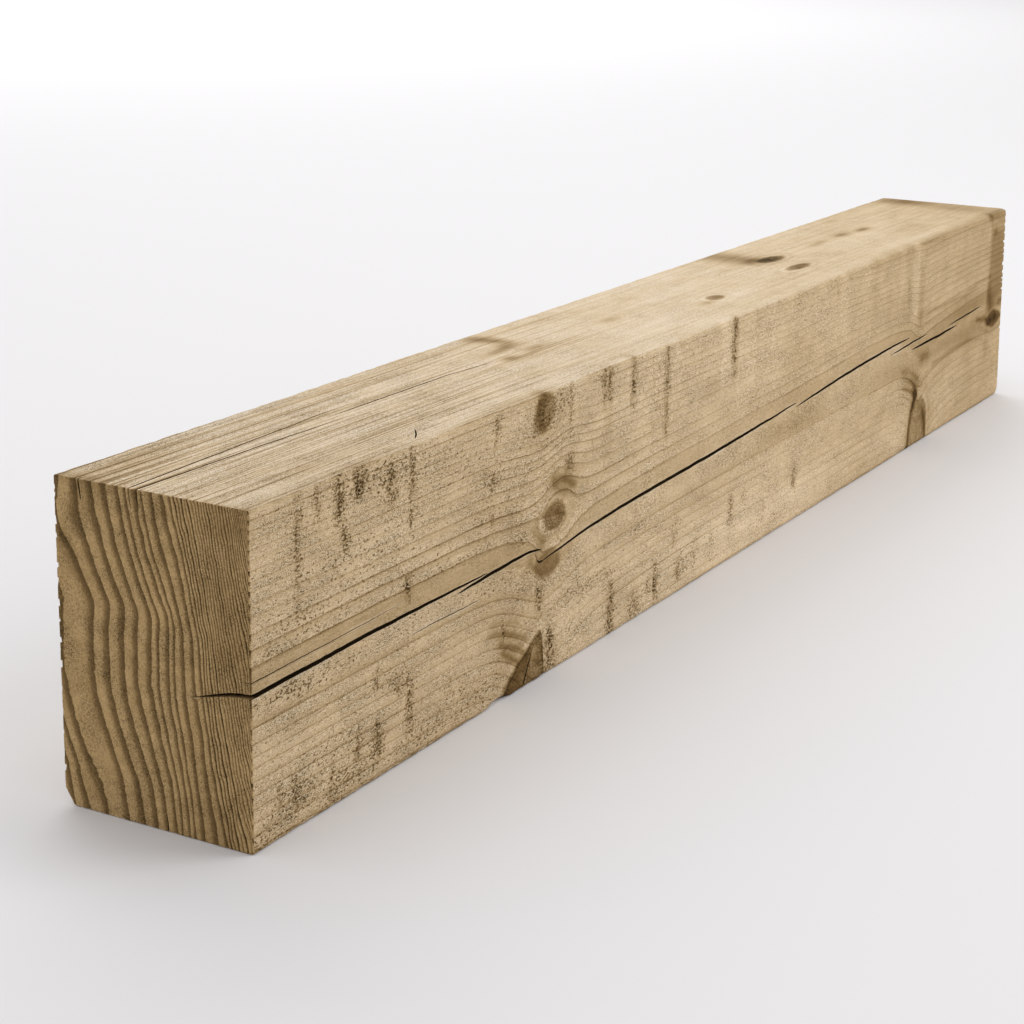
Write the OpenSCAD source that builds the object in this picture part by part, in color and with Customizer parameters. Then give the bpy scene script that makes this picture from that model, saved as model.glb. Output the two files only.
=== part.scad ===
// Rough-sawn, pressure-treated softwood timber, standing on a narrow face.
// X runs along the length, away from the end where the drying check opens.
// Y runs across the section, away from the face that carries the check. Z is up.
// The origin is the middle of the face that it stands on.

/* [Section] */
// Width across the narrow faces
section_width = 102; // [75:1:150]
// Height of the wide faces
section_height = 150; // [100:1:225]

/* [Length] */
// Length between the two sawn ends
timber_length = 1000; // [600:10:3600]

/* [Arrises] */
// Rounding of the top arris beside the check
front_top_ease = 3; // [1:0.5:6]
// Rounding of the bottom arris beside the check
front_bottom_ease = 1.5; // [0.5:0.5:6]
// Rounding of the top arris at the back
back_top_ease = 1.5; // [0.5:0.5:6]
// Rounding of the bottom arris at the back
back_bottom_ease = 2; // [0.5:0.5:6]
// Rounding of the top edge of the far end
far_top_ease = 3; // [1:0.5:8]
// Worn rounding of the bottom edge of the far end
far_bottom_ease = 9; // [2:0.5:14]

/* [Drying check] */
// Width of the check at its mouth, where it opens through the near end
check_mouth = 1.8; // [0.8:0.1:4]
// Depth of the check below the face, at the near end
check_depth = 33; // [12:1:45]
// Slope of the check down towards the pith, in degrees
check_slope = 10; // [0:1:25]

/* [Surface checks] */
// Width of the fine checks in the top face
surface_check_mouth = 0.6; // [0.3:0.1:1.5]
// Depth of the fine checks in the top face
surface_check_depth = 9; // [4:0.5:18]

/* [Wane] */
// Width of the missing edge on the bottom face, at the near end
wane_width = 6; // [3:0.5:15]
// Height of the missing edge on the back face, at the near end
wane_height = 9; // [3:0.5:20]
// Length over which the missing edge runs out
wane_length = 360; // [100:10:500]

/* [Torn arris] */
// Length of the splinter torn out of the front bottom arris
tear_length = 22; // [10:1:40]
// Depth of that tear, measured square to the arris
tear_depth = 2.6; // [1:0.2:6]
// Distance of the middle of the tear from the near end
tear_distance = 204; // [60:1:300]

/* [Hidden] */
$fn = 64;

// Every cut runs this far past the surface that it opens
overrun = 2;

front_y = -section_width / 2;
back_y = section_width / 2;
near_x = -timber_length / 2;
far_x = timber_length / 2;

// The check steps from strand to strand as it follows the grain round the knots.
// Each strand is a row of places: a share of the length from the near end,
// then a share of the height.
check_route_shares = [
    [[0, 0.467], [0.05, 0.471], [0.1, 0.475], [0.15, 0.473], [0.195, 0.472]],
    [[0.167, 0.455], [0.2, 0.465], [0.237, 0.47], [0.25, 0.459]],
    [[0.25, 0.413], [0.275, 0.43], [0.3, 0.449], [0.35, 0.463], [0.45, 0.481], [0.55, 0.505], [0.583, 0.515]],
    [[0.583, 0.498], [0.65, 0.525], [0.7, 0.539], [0.75, 0.549], [0.79, 0.55]],
    [[0.755, 0.511], [0.8, 0.522], [0.825, 0.525]],
    [[0.795, 0.485], [0.85, 0.489], [0.89, 0.493]],
    [[0.875, 0.513], [0.925, 0.525], [0.945, 0.529]],
];
// How wide and how deep each strand is, as shares of the first
check_size_shares = [1, 0.75, 0.85, 0.75, 0.5, 0.5, 0.4];

// Fine checks in the top face: a share of the length, then a share of the width from the front
surface_route_shares = [
    [[0, 0.598], [0.14, 0.657], [0.165, 0.657]],
    [[0, 0.559], [0.08, 0.549], [0.14, 0.529]],
    [[0.14, 0.598], [0.24, 0.588], [0.28, 0.549]],
];

// A closed end of a strand keeps this share of its full opening
strand_end_share = 0.12;
// Rings along one strand
strand_rings = 12;
// Rings along the wane
wane_rings = 8;

// Opening of a strand at t from 0 to 1 along it, as a share of its widest opening
function opening_share(t, open_start) =
    max(strand_end_share, sqrt(open_start ? cos(90 * t) : sin(180 * t)));

// Triangle across a strand: two points outside the face and the tip inside it.
// Here y is the depth below the face and z runs along the face.
function strand_ring(x, z, mouth, depth, slope) =
    let (spread = mouth / 2 * (depth + overrun) / depth)
    let (rise = overrun * tan(slope))
    [
        [x, -overrun, z + rise + spread],
        [x, -overrun, z + rise - spread],
        [x, depth, z - depth * tan(slope)],
    ];

// Triangle across the wane, at a place where this share of it is left
function wane_ring(x, left_share) =
    let (width = wane_width * (left_share + overrun / wane_height))
    let (height = wane_height * (left_share + overrun / wane_width))
    [
        [x, back_y + overrun, -overrun],
        [x, back_y + overrun, height],
        [x, back_y - width, -overrun],
    ];

// Closed solid through a row of triangles that all turn the same way
module triangle_sweep(rings) {
    last = len(rings) - 1;
    polyhedron(
        points = [for (ring = rings) each ring],
        faces = [
            [0, 1, 2],
            for (i = [0:last - 1], k = [0:2])
                let (a = 3 * i + k, b = 3 * i + (k + 1) % 3)
                each [[a, a + 3, b], [b, a + 3, b + 3]],
            [3 * last + 2, 3 * last + 1, 3 * last],
        ]
    );
}

// One wedge-shaped strand of a check, its face at y = 0 and its depth along +Y
module check_strand(route, across, mouth, depth, slope) {
    first = route[0][0];
    reach = route[len(route) - 1][0] - first;
    open_start = first == 0;
    triangle_sweep([
        for (i = [0:strand_rings])
            let (t = i / strand_rings)
            let (share = first + reach * t)
            let (opening = opening_share(t, open_start))
            let (lead = open_start && i == 0 ? overrun : 0)
            strand_ring(
                share * timber_length - lead,
                lookup(share, route) * across,
                mouth * opening,
                depth * opening,
                slope
            )
    ]);
}

// The radial drying check, strand after strand along the front face
module drying_check() {
    translate([near_x, front_y, 0])
        for (i = [0:len(check_route_shares) - 1])
            let (size_share = check_size_shares[i])
            check_strand(
                check_route_shares[i],
                section_height,
                check_mouth * size_share,
                check_depth * size_share,
                check_slope
            );
}

// Fine checks that run from the near end along the top face
module surface_checks() {
    translate([near_x, front_y, section_height])
        rotate([-90, 0, 0])
        for (route = surface_route_shares)
            check_strand(route, section_width, surface_check_mouth, surface_check_depth, 0);
}

// Missing edge where the log's own surface shows, running out along the back bottom arris
module wane() {
    triangle_sweep([
        for (i = [0:wane_rings])
            let (t = i / wane_rings)
            let (lead = i == 0 ? overrun : 0)
            wane_ring(near_x + wane_length * t - lead, pow(1 - t, 2))
    ]);
}

// Shallow scallop left by a splinter torn from the front bottom arris
module torn_arris() {
    scoop_radius = (pow(tear_length / 2, 2) + pow(tear_depth, 2)) / (2 * tear_depth);
    offset_out = (scoop_radius - tear_depth) / sqrt(2);
    translate([near_x + tear_distance, front_y - offset_out, -offset_out])
        sphere(r = scoop_radius);
}

// What rounding takes off a square corner, the corner at the origin and the wall in +X +Y
module corner_waste(radius) {
    difference() {
        translate([-overrun, -overrun])
            square(radius + overrun);
        translate([radius, radius])
            circle(r = radius);
    }
}

// Rectangle from the origin with its four corners rounded, each by its own radius
module eased_rectangle(width, height, low_left, low_right, high_right, high_left) {
    difference() {
        square([width, height]);
        corner_waste(low_left);
        translate([width, 0]) mirror([1, 0]) corner_waste(low_right);
        translate([width, height]) rotate(180) corner_waste(high_right);
        translate([0, height]) mirror([0, 1]) corner_waste(high_left);
    }
}

// The section swept along the length
module sawn_length() {
    translate([near_x, front_y, 0])
        rotate([90, 0, 90])
        linear_extrude(timber_length)
        eased_rectangle(
            section_width, section_height,
            front_bottom_ease, back_bottom_ease, back_top_ease, front_top_ease
        );
}

// What the worn edges of the far end take off, right across the width
module far_end_wear() {
    translate([far_x, back_y + overrun, 0])
        rotate([90, 0, 0])
        linear_extrude(section_width + 2 * overrun) {
            mirror([1, 0]) corner_waste(far_bottom_ease);
            translate([0, section_height]) rotate(180) corner_waste(far_top_ease);
        }
}

module timber() {
    color([0.72, 0.62, 0.48])
        difference() {
            sawn_length();
            far_end_wear();
            drying_check();
            surface_checks();
            wane();
            torn_arris();
        }
}

timber();
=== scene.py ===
import math

import bmesh
import bpy
import numpy as np
from mathutils import Euler, Matrix, Vector, kdtree, noise


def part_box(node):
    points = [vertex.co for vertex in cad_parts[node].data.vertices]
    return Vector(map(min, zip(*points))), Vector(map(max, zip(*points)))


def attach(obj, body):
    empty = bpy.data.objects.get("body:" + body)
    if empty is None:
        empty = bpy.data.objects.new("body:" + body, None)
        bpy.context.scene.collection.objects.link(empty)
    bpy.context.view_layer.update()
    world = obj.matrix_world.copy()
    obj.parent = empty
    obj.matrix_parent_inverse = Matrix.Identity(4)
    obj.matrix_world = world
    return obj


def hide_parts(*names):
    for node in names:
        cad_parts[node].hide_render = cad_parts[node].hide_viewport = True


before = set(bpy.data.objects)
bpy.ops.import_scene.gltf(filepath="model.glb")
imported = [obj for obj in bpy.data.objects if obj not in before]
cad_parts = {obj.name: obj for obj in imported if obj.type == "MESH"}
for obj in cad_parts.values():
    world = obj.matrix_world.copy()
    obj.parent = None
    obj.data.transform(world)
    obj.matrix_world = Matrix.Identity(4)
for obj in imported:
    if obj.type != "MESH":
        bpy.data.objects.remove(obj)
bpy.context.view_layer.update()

# All places on the timber are in millimetres: along from the near end,
# deep from the back face towards the face with the check, high from the floor.
MM = 0.001
BOX_LOW, BOX_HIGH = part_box("timber")
LENGTH = (BOX_HIGH[0] - BOX_LOW[0]) / MM
WIDTH = (BOX_HIGH[1] - BOX_LOW[1]) / MM
HEIGHT = (BOX_HIGH[2] - BOX_LOW[2]) / MM

# Camera, solved from the timber's visible corners
CAMERA_PLACE = Vector((-1.1731, -0.5534, 0.3978))
CAMERA_AZIMUTH = math.radians(-60.424)
CAMERA_ELEVATION = math.radians(14.592)
CAMERA_ROLL = math.radians(-0.885)
FRAME_PX = 1024
FOCAL_PX = 2177.7
# Shift of the frame, as a share of it, solved together with the place and turn of the camera
CAMERA_SHIFT = -0.0703
SENSOR_MM = 36

# Mesh cells along, across and up the timber
CELLS_LONG = 360
CELLS_WIDE = 40
CELLS_HIGH = 64
# Spacing of the rows along it, closer where marks and knots lie
ROW_STATIONS = [0, 270, 330, 600, 640, 770, 785, 835, 850, 935, 950, 1000]
ROW_SPACINGS = [1.9, 1.9, 2.8, 3.0, 4.4, 4.4, 2.6, 2.6, 4.4, 4.4, 2.6, 2.6]
# Fine rows beside each arris
ARRIS_ROWS = [0, 0.7, 1.6, 2.9, 4.8]

# How deep into the wood the relief of a face is felt
RELIEF_FADE = 4.0
# Edges sharper than this stay sharp
SHARP_ANGLE = math.radians(42)
# How near a vertex lies to a check's wall to belong to it
WALL_REACH = 0.002

# Rounding of the arrises
FRONT_TOP_EASE = ([0, 250, 600, 1000], [1.0, 1.4, 3.0, 3.8])
FRONT_BOTTOM_EASE = 1.3
BACK_TOP_EASE = 1.2
BACK_BOTTOM_EASE = 2.0
NEAR_END_EASE = 0.4
FAR_END_EASE = 1.0
FAR_TOP_EASE = 1.8
FAR_BOTTOM_EASE = 7.0
# The far end is sawn a little out of square: how far its top stands back
FAR_END_LEAN = 10.0
FAR_END_REACH = 100
# The missing edge on the back bottom arris, and the splinter torn from the front bottom one
WANE_WIDTH = 6
WANE_HEIGHT = 9
WANE_LENGTH = 360
TEAR_ALONG = 204
TEAR_HALF_LENGTH = 11
TEAR_DEPTH = 2.0

# The drying check, strand after strand: places along and high, mouth, depth
CHECK_SLOPE = math.tan(math.radians(10))
CHECK_STRANDS = [
    ([(0, 70.4), (48, 71), (97, 71.7), (146, 71.4), (190, 71.2)], 2.2, 33),
    ([(163, 68.7), (178, 69.2), (195, 70.1), (231, 70.9), (245, 69)], 1.8, 25),
    ([(244, 62.4), (269, 64.9), (294, 67.7), (343, 70), (442, 72.7), (542, 76.3), (575, 77.9)], 2.1, 28),
    ([(575, 75.3), (642, 79.3), (692, 81.5), (742, 83), (782, 83.3)], 1.9, 25),
    ([(747, 77.4), (793, 79), (818, 79.4)], 1.3, 16),
    ([(788, 73.4), (844, 73.9), (884, 74.7)], 1.9, 16),
    ([(869, 77.7), (920, 79.5), (940, 80.1)], 1.2, 13),
    ([(238.5, 67.9), (239.5, 64.6), (242, 62.6), (247, 62.6)], 1.1, 6),
]
# Hairline checks of the same face
FACE_HAIRLINES = [
    ([(0, 76.4), (58, 77), (117, 78.1)], 0.4, 6),
    ([(122, 60.3), (146, 60.4), (185, 59.6)], 0.4, 5),
    ([(225, -3.4), (231, 7.8), (236, 17.5)], 2.4, 5),
]
# Fine checks in the top face: places along and deep, mouth, depth
TOP_CHECKS = [
    ([(0, 40.5), (148, 34.5), (174, 34.5)], 1.0, 9),
    ([(0, 44.5), (85, 45.5), (148, 47.5)], 1.2, 9),
    ([(148, 40.5), (252, 41.5), (293, 45.5)], 1.0, 9),
    ([(134, 96), (141, 92), (148, 87)], 1, 2),
]
# Short checks in the near end: places high and deep, mouth, depth
END_CHECKS = [
    ([(140.5, 15), (147, 13.9), (154, 13.2)], 0.8, 4),
    ([(-4, 57.5), (4, 56.9), (8, 56)], 0.7, 4),
]
STATION_STEP = 4.5
FEWEST_STATIONS = 12
CHECK_END_SHARE = 0.1
CHECK_TIP = 0.06
# How long a strand keeps its full opening before it closes: less is longer
CHECK_FULLNESS = 0.38
# How far a check sways off its plane inside the wood, and down to what depth
CHECK_SWAY = 0.8
SWAY_DEPTH = 24
CUT_OVERRUN = 4
# Depths of the rows of a blade that lie near its mouth
BLADE_ROWS = [0.35, 0.8, 1.6, 3, 6, 11, 17, 24]

# Sharp outer edge of each wide growth ring, deep from the back face at mid height
WIDE_RING_EDGES = [-26, -17, -10, -4, 2.8, 19.6, 28.4, 36.6, 43.8, 51, 54.6, 59.8, 62.5, 67.5, 72.9, 76]
# The close rings from there to the face with the check, and beyond it
CLOSE_RING_COUNT = 16
CLOSE_RING = (WIDTH - WIDE_RING_EDGES[-1]) / CLOSE_RING_COUNT
CLOSE_RINGS_BEYOND = 18
RING_SCATTER = 0.28
RING_BEAT = 2.4
LATEWOOD_WIDTH = 4.2
LATEWOOD_SHARE = 0.5
EARLYWOOD_PHASE = 0.5
# How far the rings lean outwards at each height, at the back and where the close rings begin
LEAN_HEIGHTS_BACK = [0, 20, 31, 44, 55, 65, 84, 95, 99, 103, 112, 124, 137, 150]
LEAN_BACK = [16.5, 13, 8.5, 4, 1, -0.6, -0.6, 0.4, -0.4, -2.6, -6.2, -10.2, -13.6, -15.5]
LEAN_HEIGHTS_MIDDLE = [0, 40, 75, 90, 110, 130, 150]
LEAN_MIDDLE = [9, 4.5, 0.5, 0, -4, -8.5, -13]
# Lean of the close rings for each millimetre of height
CLOSE_LEAN = -0.18
# Local swings of the rings: deep, high, half widths, shift
RING_SWINGS = [(3, 131, 9, 15, 5.5), (22, 4, 8, 22, -5), (60, 96, 8, 9, -0.8), (66, 60, 7, 12, 0.9)]
# Rings cut by the front face, by height: a whole number is a sharp edge.
# The face lies along one ring at the check, where the count breaks.
FACE_HEIGHTS = [
    2, 8, 14, 20, 26, 32.5, 38.3, 43.3, 48.7, 56.2, 59, 69.3, 70.3, 81.6, 83, 87,
    90.8, 97.5, 104.7, 110, 115.8, 120, 124.5, 128.7, 133.3, 137.5, 141.3, 145.8, 150,
]
FACE_RINGS = [
    -9, -8, -7, -6, -5, -4, -3, -2, -1, 0, 0.42, 0.95, 0.62, 0.78, 1, 1.45,
    2, 3, 4, 5, 6, 7, 8, 9, 10, 11, 12, 13, 14,
]
FACE_RING_AT_CHECK = len(WIDE_RING_EDGES) - 1 + CLOSE_RING_COUNT - 1
CHECK_LEVEL = 70
FLAT_GRAIN_MIDDLE = 73
FLAT_GRAIN_REACH = 17
# What lies this close to the front plane belongs to the front face
FACE_SKIN = 1.5
# The grain rises along the length with the check, less so above and below it
GRAIN_STATIONS = [
    0, 97, 195, 234, 244, 269, 294, 343, 442, 575, 642, 692, 742, 783, 798, 844, 884, 920, 1000,
]
GRAIN_RISE = [0, 1.2, 0.4, 0.3, -2.5, -2.8, -2.2, -0.5, 2.2, 6, 8.7, 10.5, 11.5, 9, 4.5, 4, 5.5, 8.5, 10]
RISE_REACH_UP = 24
RISE_REACH_DOWN = 15

# Knots of the front face: along, high, half length, half height, slant, squareness, darkness,
# lift of the grain over the knot, its reach along and its reach up
FRONT_KNOTS = [
    (245, 139.5, 11, 10, 0.15, 2, 0.8, 4, 20, 12),
    (257.5, 84, 12, 8, 0, 2, 0.92, 16, 21, 26),
    (251, 60, 14, 7.5, 0, 2, 0.72, 3, 20, 12),
    (974.5, 65.5, 22, 7, 0, 1.3, 1.08, 4, 26, 14),
]
# Knots on the bottom front arris: along, half length to the left and to the right, half height,
# squareness, darkness, pull of the grain, its reach to the left, to the right and up
ARRIS_KNOTS = [
    (246, 42, 4, 27, 1.3, 0.98, 26.7, 36, 60, 55),
    (810, 21, 19, 35, 2.6, 0.6, 30.8, 26, 38, 55),
]
# Knots of the top face: along, deep, half length, half width, darkness, swell of the grain
TOP_KNOTS = [
    (521, 67, 10, 5.4, 0.95, 3),
    (667, 41, 17, 6.5, 1.15, 6),
    (650, 67.5, 18, 5.2, 1.05, 4),
]
KNOT_DEPTH = 30
# How far into the wood the pull of an arris knot reaches
ARRIS_KNOT_REACH_IN = 32
# How crisply the knots of each place end
ARRIS_KNOT_SHARPNESS = 2.2
ARRIS_KNOT_CRISPNESS = 1
FRONT_KNOT_CRISPNESS = 0.35
TOP_KNOT_CRISPNESS = 0.1
# Where the arris knots press the grain into crisper lines: along, high, half length, half height
CRISP_GRAIN = [(212, 30, 22, 18), (788, 46, 20, 14)]
CRISP_GAIN = 0.9
# How far a front knot dips for each millimetre inwards
KNOT_DIP = 1.0
# How far the crest of the grain over a front knot moves along for each millimetre up
CREST_DRIFT = 0.33

# Torn saw marks on the front: along, low, high, half width, depth
SAW_MARKS = [
    (33, 98, 150, 1.8, 0.45), (48, 132, 150, 2, 0.5), (65, 127, 150, 2.8, 0.8), (69, 114, 128, 2, 1),
    (80, 135, 149, 3.6, 1), (105, 126, 146, 3, 0.7), (122, 112, 149, 2, 0.8), (119, 77, 90, 1.8, 1),
    (31, 11, 26, 2.2, 0.7), (78, 13, 28, 2.5, 0.7), (94, 9, 28, 2.8, 0.8), (95, 44, 53, 2.2, 0.8),
    (120, 13, 42, 2, 0.9), (199, 132, 147, 2.4, 0.7), (195, 92, 120, 2.4, 0.6), (207, 33, 42, 1.4, 1),
    (273, 120, 149, 1.6, 0.6), (310, 128, 150, 2.6, 0.6), (316, 130, 150, 2.4, 0.8),
    (344, 124, 149, 1.7, 1.1), (386, 97, 149, 1.7, 0.8), (476, 114, 149, 1.8, 1.1),
    (322, 0, 29, 3.4, 1.1), (368, 5, 20, 1.8, 0.8), (377, 5, 26, 2.2, 0.9), (399, 30, 40, 2, 0.6),
    (478, 24, 42, 1.8, 0.7), (406, 5, 24, 2.6, 0.5), (576, 23, 38, 2.2, 1), (635, 124, 150, 2.2, 0.4),
    (774, 100, 128, 3, 0.4), (243, 132, 151, 5, 0.3), (254, -4, 25, 6.5, 0.8), (243, 36, 50, 3, 0.9),
    (112, 35, 41, 3, 0.7), (352, 2, 18, 7, 0.5), (273, 104, 112, 4, 0.7), (58, 2, 22, 2.5, 0.6),
    (19, 15, 24, 2.2, 0.5),
]
# Patches of the front where the saw left dark pits: along, high, half length, half height, amount
ROUGH_PATCHES = [
    (9, 5, 30, 8, 0.6), (31, 18, 6, 8, 0.8), (58, 6, 16, 6, 0.8), (78, 20, 6, 8, 0.8), (94, 18, 7, 10, 1),
    (92, 47, 5, 5, 0.7), (112, 38, 8, 4, 0.6), (121, 22, 5, 16, 0.8), (39, 64, 40, 5, 0.5),
    (176, 10, 30, 9, 0.6), (65, 138, 6, 14, 0.9), (48, 142, 4, 8, 0.6), (81, 143, 7, 8, 1),
    (105, 135, 7, 10, 0.8), (123, 135, 5, 14, 0.7), (34, 125, 5, 25, 0.7), (69, 120, 5, 8, 0.9),
    (97, 140, 30, 10, 0.4), (19, 86, 20, 3, 0.6), (119, 84, 5, 8, 0.8), (196, 116, 6, 6, 0.7),
    (199, 142, 5, 6, 0.7), (206, 98, 10, 12, 0.5), (220, 78, 9, 5, 0.8), (180, 84, 40, 2, 0.6),
    (200, 65, 25, 6, 0.6), (230, 60, 12, 8, 0.5), (243, 45, 6, 8, 0.9), (255, 10, 8, 14, 1),
    (243, 138, 9, 12, 0.8), (262, 140, 12, 6, 0.8), (273, 108, 6, 6, 0.8), (311, 142, 8, 9, 0.7),
    (319, 36, 14, 4, 0.6), (294, 36, 30, 5, 0.4), (323, 15, 8, 14, 0.8), (343, 138, 4, 12, 0.9),
    (350, 8, 10, 10, 0.8), (378, 14, 5, 12, 0.9), (368, 14, 4, 8, 0.7), (385, 121, 4, 26, 0.6),
    (406, 12, 6, 12, 0.6), (29, 12, 25, 10, 0.7), (73, 10, 25, 8, 0.7), (137, 8, 25, 7, 0.6),
    (58, 28, 30, 6, 0.4), (156, 22, 12, 8, 0.5), (168, 18, 5, 10, 0.6), (196, 12, 12, 10, 0.5),
    (24, 66, 22, 4, 0.8), (68, 64, 20, 3, 0.5), (39, 88, 30, 4, 0.4), (107, 45, 12, 6, 0.5),
    (58, 110, 35, 8, 0.35), (29, 95, 25, 5, 0.5), (185, 100, 14, 14, 0.45), (194, 120, 14, 8, 0.5),
    (165, 130, 20, 10, 0.3), (214, 95, 10, 12, 0.5), (236, 132, 7, 7, 0.9), (251, 134, 6, 7, 0.8),
    (410, 14, 12, 10, 0.7), (429, 18, 8, 8, 0.6), (451, 14, 5, 12, 0.6), (525, 18, 8, 12, 0.5),
    (545, 9, 10, 8, 0.5), (499, 34, 8, 6, 0.4), (510, 7, 4, 8, 0.5), (402, 42, 8, 8, 0.4),
    (473, 133, 5, 16, 1), (478, 32, 5, 10, 0.8), (576, 30, 6, 9, 0.9),
]
# Painted light and shade of the sawn facets on the front, paler where a facet faces the light: start,
# end, low, high, shade
SAWN_FACET_LIGHT_AND_SHADE = [
    (275, 308, 112, 150, 0.08), (308, 321, 100, 150, -0.07), (320, 340, 112, 150, 0.16),
    (340, 346, 122, 150, -0.06), (346, 380, 110, 150, 0.1), (381, 388, 96, 150, -0.14),
    (388, 402, 115, 150, 0.12), (427, 432, 100, 150, -0.08), (433, 456, 107, 116, -0.16),
    (455, 471, 112, 150, 0.2), (472, 480, 112, 150, -0.16), (480, 505, 104, 150, 0.08),
    (257, 320, 2, 28, 0.1), (320, 325, 0, 28, -0.1), (385, 475, 0, 26, 0.08), (495, 636, 2, 26, 0.08),
    (505, 511, 100, 150, -0.06), (524, 536, 120, 150, 0.07), (550, 602, 98, 122, -0.08),
    (643, 656, 108, 150, 0.08), (678, 696, 112, 150, 0.06), (704, 714, 105, 150, -0.08),
    (728, 742, 100, 125, -0.1), (753, 765, 95, 150, 0.06), (781, 795, 95, 150, 0.2),
    (797, 807, 88, 128, -0.16), (851, 857, 110, 140, -0.06), (876, 882, 100, 150, -0.05),
    (958, 1000, 92, 132, -0.18), (954, 1000, 75, 150, -0.18), (953, 965, 36, 92, -0.05),
]
# Broad pale or dark patches of each face: along, across, half length, half width, shade
STAINS = {
    "front": [
        (274, 107, 6, 7, -0.2), (266, 99, 13, 6, -0.2), (293, 75, 9, 3.5, -0.16), (275, 76, 7, 3, 0.1),
        (237, 90, 14, 8, 0.12), (246, 66, 9, 7, -0.2), (269, 60, 16, 4, -0.14),
        (977, 113, 16, 22, -0.1), (964, 87, 8, 13, -0.06), (985, 87, 14, 7, -0.12),
        (959, 46, 8, 10, -0.16), (953, 149, 5, 5, -0.4), (966, 135, 6, 3, -0.28), (800, 42, 8, 6, -0.3),
        (797, 35, 6, 8, -0.3), (208, 33, 18, 13, -0.2), (241, 44, 8, 8, -0.12), (530, 87, 30, 6, -0.14),
        (582, 103, 24, 18, -0.07), (292, 14, 22, 13, 0.06), (768, 13, 16, 14, 0.14),
        (849, 13, 24, 12, 0.12), (814, 62, 12, 6, -0.18), (900, 85, 75, 9, -0.32),
        (975, 62, 24, 12, -0.2), (697, 11, 10, 6, -0.12), (730, 40, 12, 6, -0.1),
        (243, 147, 7, 5, -0.3), (181, 56, 28, 7, -0.13), (216, 20, 14, 13, -0.2),
        (241, 72, 8, 4, -0.25), (555, 65, 70, 8, -0.38), (620, 79, 50, 5, -0.15),
        (720, 69, 60, 7, -0.14), (760, 61, 45, 5, -0.15), (795, 50, 12, 6, -0.3),
        (890, 65, 75, 9, -0.36), (969, 76, 12, 10, -0.2), (826, 17, 11, 12, -0.18),
        (480, 14, 190, 22, 0.3), (60, 30, 70, 18, 0.05), (745, 13, 36, 14, 0.12),
        (857, 28, 30, 14, 0.16), (620, 112, 60, 24, -0.05),
    ],
    "top": [
        (334, 10, 9, 14, -0.6), (313, 35, 16, 4, -0.34), (327, 30, 8, 4, -0.34), (303, 48, 7, 4, -0.6),
        (335, 46, 14, 3.5, -0.55), (359, 52, 16, 3, -0.16), (278, 75, 14, 5, -0.18),
        (425, 45, 12, 5, -0.35), (460, 42, 16, 3, -0.16), (656, 14, 19, 25, -0.55),
        (659, 37, 9, 7, -0.3), (496, 71, 8, 5, -0.2), (748, 42, 20, 3.5, -0.3),
        (792, 42, 12, 4.5, -0.5), (824, 46, 13, 4, -0.6), (714, 35, 18, 2, -0.14),
        (892, 44, 9, 3, -0.16), (847, 13, 10, 4, -0.18), (565, 25, 16, 3, -0.16),
        (610, 34, 9, 3, -0.14), (978, 22, 20, 26, -0.55), (960, 74, 44, 26, -0.1),
        (24, 23, 26, 10, -0.2), (63, 85, 70, 20, -0.1), (647, 34, 14, 8, -0.3), (338, 24, 7, 9, -0.35),
        (325, 33, 20, 4, -0.3), (972, 78, 24, 28, -0.24), (3, 14, 5, 18, -0.35),
        (800, 101, 230, 3.5, -0.18), (505, 70, 6, 3, -0.35), (640, 66.5, 8, 4, 0.5),
        (516, 65, 5, 3, 0.4), (320, 52, 20, 3, -0.3), (700, 62, 34, 9, -0.07), (765, 86, 45, 9, 0.06),
        (870, 68, 45, 13, -0.08), (925, 38, 38, 15, -0.09), (590, 14, 50, 8, 0.06),
        (850, 24, 40, 9, 0.06), (540, 89, 55, 7, -0.06), (720, 13, 30, 8, -0.06),
    ],
    "end": [
        (4, 122, 5, 8, -0.34), (11, 111, 4, 6, -0.28), (16, 101, 3, 8, -0.2), (90, 142, 16, 9, -0.2),
        (92, 85, 15, 60, -0.16), (14, 142, 2, 10, -0.2), (5, 145, 5, 3, 0.1), (4, 52, 4, 14, -0.16),
        (85, 10, 14, 12, -0.14),
    ],
}
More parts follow.
